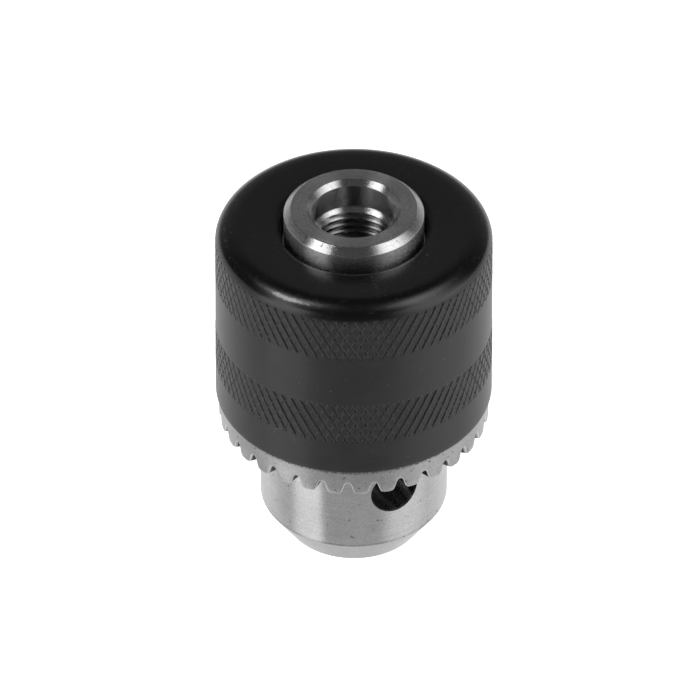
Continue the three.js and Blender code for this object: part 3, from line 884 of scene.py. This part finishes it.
def jacket_piece():
    columns = KNURL_COUNT * JACKET_COLUMNS_PER_KNURL
    outline = np.array(jacket_outline())
    turns = np.arange(columns) * TAU / columns
    z = outline[:, 1][:, None]
    knurled = outline[:, 2][:, None]
    rise = knurl_height(z, turns[None, :]) * knurled
    radii = outline[:, 0][:, None] + rise
    levels = np.broadcast_to(z, radii.shape)
    grid = np.stack([radii * np.cos(turns), radii * np.sin(turns), levels], axis=-1)
    rub = sum(
        amount * np.exp(-((angle_between(turns, at) / width) ** 2)) for at, width, amount in JACKET_RUBS
    )
    wear_and_painted_light = 0.45 * np.clip(rise / 0.03, 0, 1) * knurled + outline[:, 3][:, None] * (0.3 + rub)
    jacket = add_object("jacket_fine", sheet_mesh("jacket_fine", grid, np.clip(wear_and_painted_light, 0, 1)))
    shade_by_angle(jacket, JACKET_CRISP)
    return jacket


def grip_vee(angle):
    """Wedge that leaves two grip flats meeting in an upright edge."""
    side = GRIP_HALF_WIDTH
    flare = side / math.tan(GRIP_HALF_ANGLE)
    outline = [(-side, -side), (GRIP_R + flare, -side), (GRIP_R, 0), (GRIP_R + flare, side), (-side, side)]
    cut = prism("grip", outline, *GRIP_SPAN)
    set_matrix(cut, Matrix.Rotation(math.radians(angle), 4, "Z"))
    return cut


def jaw_thread_tools(angle):
    """All the grooves across one jaw's back, as one object of separate prisms."""
    root, mouth = JAW_R - JAW_THREAD_DEPTH, JAW_R + JAW_THREAD_OVERCUT
    section = (
        (root, -JAW_THREAD_HALF_ROOT),
        (mouth, -JAW_THREAD_HALF_MOUTH),
        (mouth, JAW_THREAD_HALF_MOUTH),
        (root, JAW_THREAD_HALF_ROOT),
    )
    lead = math.atan(SCROLL_PITCH / (TAU * JAW_THREAD_LEAD_R))
    turn = angle / 360
    first = math.ceil(JAW_THREAD_START / SCROLL_PITCH - turn)
    points, faces = [], []
    for i in range(first, first + 40):
        along = (i + turn + 0.5) * SCROLL_PITCH
        if along > JAW_THREAD_END:
            break
        base = len(points)
        for y in (-JAW_THREAD_SPAN, JAW_THREAD_SPAN):
            slide = along + y * math.tan(lead)
            for x, half in section:
                points.append((x * MM, y * MM, (slide + half) * MM))
        faces += [tuple(base + k for k in face) for face in (
            (0, 1, 2, 3), (7, 6, 5, 4), (0, 4, 5, 1), (1, 5, 6, 2), (2, 6, 7, 3), (3, 7, 4, 0),
        )]
    mesh = bpy.data.meshes.new("grooves")
    mesh.from_pydata(points, [], faces)
    tool = add_object("grooves", mesh)
    set_matrix(tool, at_jaw(angle))
    return tool


def jaw_piece(index, angle):
    jaw = round_bar(f"jaw_fine_{index}", JAW_R, *JAW_STOCK, HOLE_COLUMNS)
    set_matrix(jaw, at_jaw(angle))
    carve(jaw, round_bar("envelope", JAW_TOP_LIMIT_R, JAW_TIP, JAW_TOP, ENVELOPE_COLUMNS), "INTERSECT")
    carve(jaw, grip_vee(angle))
    carve(jaw, jaw_thread_tools(angle))
    shade_by_angle(jaw, BODY_CRISP)
    return jaw


# ---------------------------------------------------------------- the whole scene


def dress_nut(material):
    for name in ("nut_half_a", "nut_half_b"):
        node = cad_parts[name]
        node.data.materials.clear()
        node.data.materials.append(material)


def build():
    bpy.context.scene.view_settings.view_transform = "Standard"
    add_camera()
    add_world()
    add_floor()
    body_steel = steel(
        "body_steel", light=0.68, dark=0.54, roughness=0.23, turned_lines=0.7, pits=0.7,
        shade_and_grime=body_shade_and_grime, coarse=boss_side, drawn=0.95,
    )
    ring_steel = steel(
        "ring_steel", light=0.54, dark=0.4, roughness=0.32, turned_lines=0.3, pits=0.66, shade_and_grime=ring_gap_shade_and_band
    )
    jaw_steel = steel("jaw_steel", light=0.5, dark=0.4, roughness=0.3, turned_lines=0.2, pits=0.72)
    nut_steel = steel("nut_steel", light=0.36, dark=0.26, roughness=0.4, turned_lines=0.4, pits=0.68)
    finish_piece(body_piece(), "body", "chuck_body", body_steel)
    finish_piece(ring_piece(), "sleeve", "toothed_ring", ring_steel)
    finish_piece(jacket_piece(), "sleeve", "outer_jacket", black_oxide())
    for index, angle in enumerate(JAW_ANGLES, 1):
        finish_piece(jaw_piece(index, angle), f"jaw_{index}", f"jaw_{index}", jaw_steel)
    dress_nut(nut_steel)


build()
